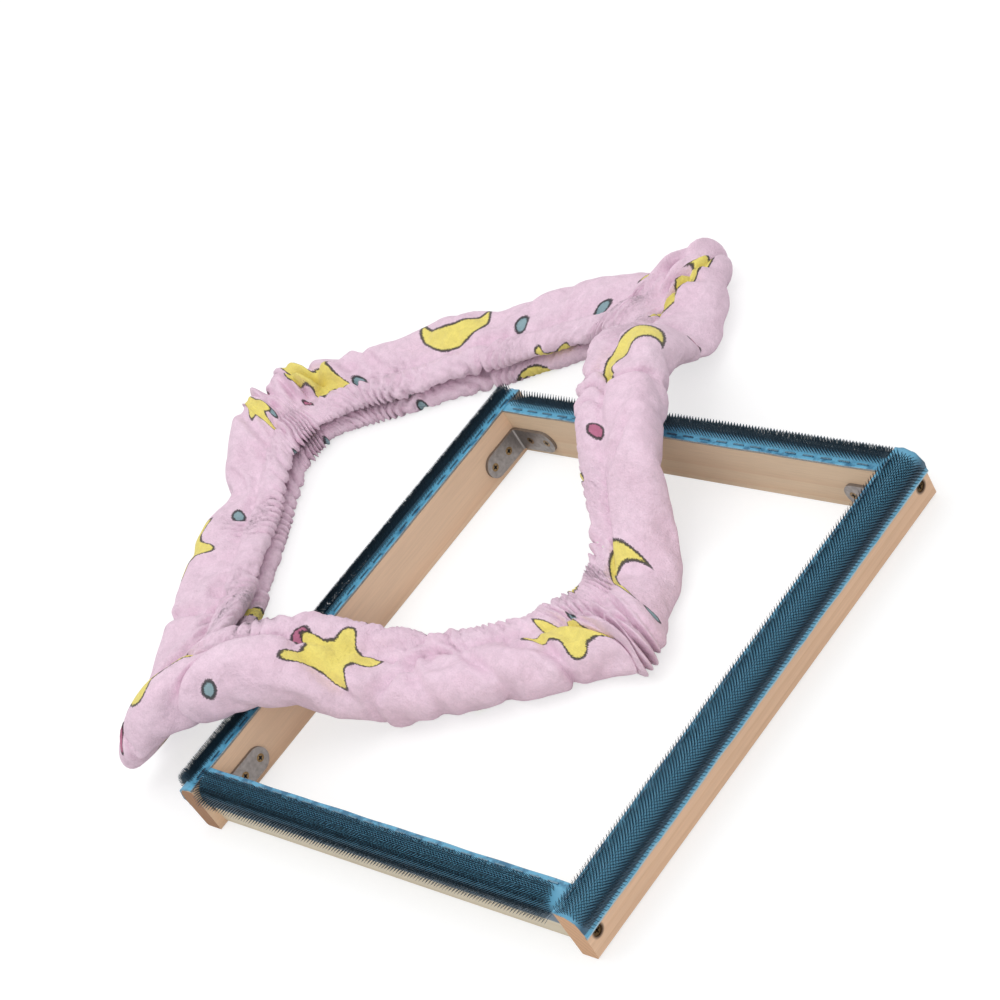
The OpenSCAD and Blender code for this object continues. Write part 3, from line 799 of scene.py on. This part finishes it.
def printDots(tree, cloth):
    # how far a point is outside its cell's dot, in mm, and the dot's own random number
    x, y, sizeDice, dotDice = printCells(tree, cloth, *fleeceLook["dots"])
    y = addNode(tree, "Math", [y, 0.8], operation="MULTIPLY")
    place = addNode(tree, "CombineXYZ", [x, y])
    away = addNode(tree, "VectorMath", [place], operation="LENGTH").outputs["Value"]
    radius = addNode(tree, "Math", [sizeDice, fleeceLook["dotSpread"], fleeceLook["dotRadius"]],
                     operation="MULTIPLY_ADD")
    dot = addNode(tree, "Math", [away, radius], operation="SUBTRACT")
    noDot = addNode(tree, "Math", [dotDice, fleeceLook["noDotFrom"]], operation="GREATER_THAN")
    noDot = addNode(tree, "Math", [noDot, 50], operation="MULTIPLY")
    return addNode(tree, "Math", [dot, noDot], operation="ADD"), sizeDice


def makeFleece():
    # double-faced plush fleece: short soft pile with a pale sheen, and printed stars, moons and dots
    material, tree = newMaterial("plush fleece")
    onCloth = addNode(tree, "UVMap", uv_map="print")   # along and across the fabric, in mm
    # the print's edges are furry
    fuzz = addNode(tree, "TexNoise", {
        "Vector": onCloth, "Scale": 1 / fleeceLook["fuzz"], "Detail": 2.0},
        noise_dimensions="2D").outputs["Color"]
    push = addNode(tree, "VectorMath", [fuzz, (0.5, 0.5, 0.5)], operation="SUBTRACT")
    far = fleeceLook["fuzzDepth"]
    pushed = addNode(tree, "VectorMath", [push, (far, far, 0), onCloth], operation="MULTIPLY_ADD")
    cloth = addNode(tree, "SeparateXYZ", [pushed]).outputs
    figure = printFigures(tree, cloth)
    dot, dotDice = printDots(tree, cloth)
    clouds = addNode(tree, "TexNoise", {"Vector": onCloth, "Scale": 1 / fleeceLook["cloud"], "Detail": 3.0})
    colour = addNode(tree, "MixRGB", [clouds, fleeceLook["pink"], fleeceLook["pinkDeep"]])
    isRose = addNode(tree, "Math", [dotDice, 0.5], operation="GREATER_THAN")
    dotColour = addNode(tree, "MixRGB", [isRose, fleeceLook["greyBlue"], fleeceLook["rose"]])
    for away, ink in ((dot, dotColour), (figure, fleeceLook["yellow"])):
        inside = addNode(tree, "MapRange", [away, -0.35, 0.35, 1, 0])
        rim = addNode(tree, "Math", [away], operation="ABSOLUTE")
        line = addNode(tree, "MapRange", [rim, 0.45, 0.95, 0.92, 0])
        for mask, tint in ((inside, ink), (line, fleeceLook["charcoal"])):
            colour = addNode(tree, "MixRGB", [mask, colour, tint])
    # pile: tufts, larger flattened patches, and shade where the nap is brushed one way or the other
    place = millimetres(tree)
    tufts = addNode(tree, "TexNoise", {
        "Vector": place, "Scale": 1 / fleeceLook["tuft"], "Detail": 2.0, "Roughness": 0.6})
    patches = addNode(tree, "TexNoise", {"Vector": place, "Scale": 1 / fleeceLook["patch"], "Detail": 2.0})
    lift = addNode(tree, "Math", [patches, 2.2, tufts], operation="MULTIPLY_ADD")
    bump = addNode(tree, "Bump", {"Height": lift, "Strength": 0.7, "Distance": 0.9 * mm})
    shade = addNode(tree, "MapRange", [tufts, 0.3, 0.7, 0.93, 1.03])
    nap = addNode(tree, "TexNoise", {
        "Vector": place, "Scale": 1 / fleeceLook["nap"], "Detail": 3.0, "Distortion": 0.6})
    brushed = addNode(tree, "MapRange", [nap, 0.35, 0.65, 0.93, 1.03])
    shade = addNode(tree, "Math", [shade, brushed], operation="MULTIPLY")
    colour = addNode(tree, "VectorMath", {0: colour, "Scale": shade}, operation="SCALE")
    fleece = addNode(tree, "BsdfPrincipled", {
        "Base Color": colour, "Roughness": 0.92, "Specular IOR Level": 0.2, "Sheen Weight": 0.18,
        "Sheen Roughness": 0.45, "Sheen Tint": fleeceLook["sheen"], "Normal": bump})
    addNode(tree, "OutputMaterial", [fleece])
    return material


def outwards(rows):
    # the direction out of the fabric's loop at each row
    m = len(rows) - 1
    step = rows[(np.arange(m + 1) + 1) % m][:, :2] - rows[(np.arange(m + 1) - 1) % m][:, :2]
    normal = np.stack([step[:, 1], -step[:, 0]], axis=1)
    normal /= np.linalg.norm(normal, axis=1, keepdims=True)
    loopArea = np.sum(rows[:-1, 0] * rows[1:, 1] - rows[1:, 0] * rows[:-1, 1])
    return -normal if loopArea < 0 else normal


def closeRing(mesh):
    # merges the grid's seams, round the cover and across the band
    bm = bmesh.new()
    bm.from_mesh(mesh)
    bmesh.ops.remove_doubles(bm, verts=bm.verts, dist=0.01 * mm)
    bmesh.ops.recalc_face_normals(bm, faces=bm.faces)
    for face in bm.faces:
        face.smooth = True
    bm.to_mesh(mesh)
    bm.free()


def gatherMove(t, q, z, gather):
    # how far the gathers push the fabric out: rounded lobes with sharp creases between them, uneven in width,
    # depth and slant, with finer ones between, and fading out from the casing's seam into the padded zone
    slant = 0.9 * ripple(t, (5, 9, 14), 4)
    phase = (cover["gathers"] * t + 2.2 * ripple(t, (3, 7, 12, 19), 5)
             + slant * (q - cover["gatherMiddle"]) / cover["slantOver"])
    phase = phase + 0.25 * np.sin(q * 0.35 + 2 * math.pi * 11 * t)
    lobes = np.abs(np.sin(math.pi * phase)) ** 0.8 * 2 - 1.1
    size = np.clip(0.85 + 0.4 * ripple(t, (8, 13, 21, 34), 6), 0.25, 1.6)
    finePhase = (cover["fineGathers"] * t + 1.8 * ripple(t, (6, 15, 27), 7)
                 + 0.8 * slant * (q - cover["fineMiddle"]) / cover["slantOver"])
    fineLobes = np.abs(np.sin(math.pi * finePhase)) * 2 - 1.2
    reach = 11 + 7 * np.clip(ripple(t, (9, 17, 25, 41), 8), -1.2, 2.2)
    fade = np.clip(1 - (cover["seam"] - q) / np.maximum(reach, 2), 0, 1) ** 1.2
    padded = (z > cover["frontFrom"]) & (q < cover["seam"])
    weight = np.where(padded, np.where(z > cover["puffFrom"], 0.75, gather) * fade, gather)
    return weight * (cover["gatherDepth"] * size * lobes + cover["fineDepth"] * fineLobes)


def coverPlaces(t, j, rows, folds, gathered):
    # where the fabric lies, in mm: the outline swept round the cover, with its gathers and folds, and draped
    q, z, gather, fold = (rows[j, k] for k in range(4))
    normal = outwards(rows)
    nq, nz = normal[j, 0], normal[j, 1]
    move = fold * folds * coverFolds(t, q) + fold * 0.8 * ripple(t, (14, 22, 31, 45), 9)
    if gathered:
        move = move + gatherMove(t, q, z, gather)
    w = swell(360 * np.floor(t * 4) / 4 + 90 * (t * 4 % 1))
    inwards = cover["swellIn"] * w * np.clip(1 - q / cover["seam"], 0, 1) * (z > cover["offTable"])
    q = q - inwards + nq * move
    z = np.maximum(z * np.where(z > cover["padFrom"], 1 + w, 1) + nz * move, 0.0)
    x, y = planPoint(t % 1, q)
    lift = drape(t % 1, x, y)
    settle = cover["settle"] * (lift / cover["lift"]) * np.clip(1 - z / cover["settleTo"], 0, 1)
    return np.stack([x, y, lift + z - settle], axis=1)


def simulateFleece():
    # there is more fabric than room: a cloth cut larger than its place, with a little pressure, buckles into
    # folds. Gives how far each point of a coarse grid moves, in mm; the casings and the underside are held
    n, m = clothRun["around"], clothRun["across"]
    rows, _ = smoothLoop(coverOutline, m)
    mesh, _, i, j = openGrid("coarse", "print", n, m)
    places = coverPlaces(i / n, j, rows, clothRun["folds"], False)
    mesh.vertices.foreach_set("co", (places * mm).reshape(-1))
    own = mesh.attributes.new("own", "INT", "POINT")
    own.data.foreach_set("value", np.arange(len(i)))
    closeRing(mesh)
    piece = bpy.data.objects.new("coarse", mesh)
    bpy.context.scene.collection.objects.link(piece)
    kept = np.zeros(len(mesh.vertices), dtype=np.int32)
    mesh.attributes["own"].data.foreach_get("value", kept)
    held = piece.vertex_groups.new(name="held")
    hold = np.clip(1 - 1.4 * rows[j[kept], 3], 0, 1)
    for k, weight in enumerate(hold):
        held.add([k], float(weight), "REPLACE")
    before = readRows(mesh.vertices, "co", 3)
    cloth = piece.modifiers.new("cloth", "CLOTH")
    for key, value in clothRun["fabric"].items():
        setattr(cloth.settings, key, value)
    cloth.settings.effector_weights.gravity = 0
    cloth.collision_settings.use_collision = False
    cloth.point_cache.frame_end = clothRun["frames"]
    for at in range(1, clothRun["frames"] + 1):
        bpy.context.scene.frame_set(at)
    graph = bpy.context.evaluated_depsgraph_get()
    after = readRows(piece.evaluated_get(graph).data.vertices, "co", 3)
    bpy.context.scene.frame_set(1)
    moved = (after - before) / mm
    size = np.linalg.norm(moved, axis=1, keepdims=True)
    print("stage: cloth moved up to", round(float(size.max()), 1), "mm")
    moved *= np.minimum(1, clothRun["cap"] / np.maximum(size, 1e-6))
    # the corners keep their shape
    fromCorner = (4 * i[kept] / n) % 1 - (1 + cover["straightShare"]) / 2
    moved *= 1 - clothRun["cornerHold"] * np.exp(-(fromCorner / clothRun["cornerWidth"]) ** 2)[:, None]
    bpy.data.objects.remove(piece)
    bpy.data.meshes.remove(mesh)
    whole = np.zeros((n, m, 3))
    whole[i[kept] % n, j[kept] % m] = moved
    return whole


def finerMoves(field, n, m):
    # the coarse grid's moves on the fine one: straight between its points, then softened
    a, b = field.shape[:2]
    u, v = np.arange(n) * a / n, np.arange(m) * b / m
    iu, iv = u.astype(int), v.astype(int)
    fu, fv = (u - iu)[:, None, None], (v - iv)[None, :, None]
    left, right = field[iu % a], field[(iu + 1) % a]
    near = left * (1 - fu) + right * fu
    out = near[:, iv % b] * (1 - fv) + near[:, (iv + 1) % b] * fv
    for axis in (0, 1, 0, 1):
        out = 0.5 * out + 0.25 * (np.roll(out, 1, axis) + np.roll(out, -1, axis))
    return out


def makeCover():
    n, m = cover["around"], cover["across"]
    rows, run = smoothLoop(coverOutline, m)
    mesh, _, i, j = openGrid("fleece_cover", "print", n, m)
    places = coverPlaces(i / n, j, rows, cover["folds"], True)
    places = places + finerMoves(simulateFleece(), n, m)[i % n, j % m]
    places[:, 2] = np.maximum(places[:, 2], 0.0)
    mesh.vertices.foreach_set("co", (places * mm).reshape(-1))
    uv = mesh.uv_layers["print"].data
    flat = readRows(uv, "uv", 2) * (cover["round"], run[-1])
    uv.foreach_set("uv", flat.reshape(-1))
    closeRing(mesh)
    print("stage: cover mesh", len(mesh.polygons), "faces, fabric", round(float(run[-1]), 1), "mm across")
    return mesh


fleece = makeFleece()
fleeceCover = newPiece("fleece_cover", makeCover(), "cover", fleece)
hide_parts("cover_sleeve", "cover_front_casing", "cover_back_casing")

# elastics in the casings
elasticLook = dict(white="#E9E9E4", shade="#CFCFC8", ribWidth=1.0134)


def makeElastic():
    # woven elastic: white ribs about 1 mm apart
    material, tree = newMaterial("woven elastic")
    ribs = addNode(tree, "TexWave", {
        "Vector": millimetres(tree), "Scale": math.pi / 10 / elasticLook["ribWidth"],
        "Distortion": 1.0}).outputs["Fac"]
    colour = addNode(tree, "MixRGB", [ribs, elasticLook["white"], elasticLook["shade"]])
    bump = addNode(tree, "Bump", {"Height": ribs, "Strength": 0.4, "Distance": 0.2 * mm})
    woven = addNode(tree, "BsdfPrincipled", {"Base Color": colour, "Roughness": 0.8, "Normal": bump})
    addNode(tree, "OutputMaterial", [woven])
    return material


elastic = makeElastic()
paint("cover_front_elastic", elastic)
paint("cover_back_elastic", elastic)
print("stage: cover")
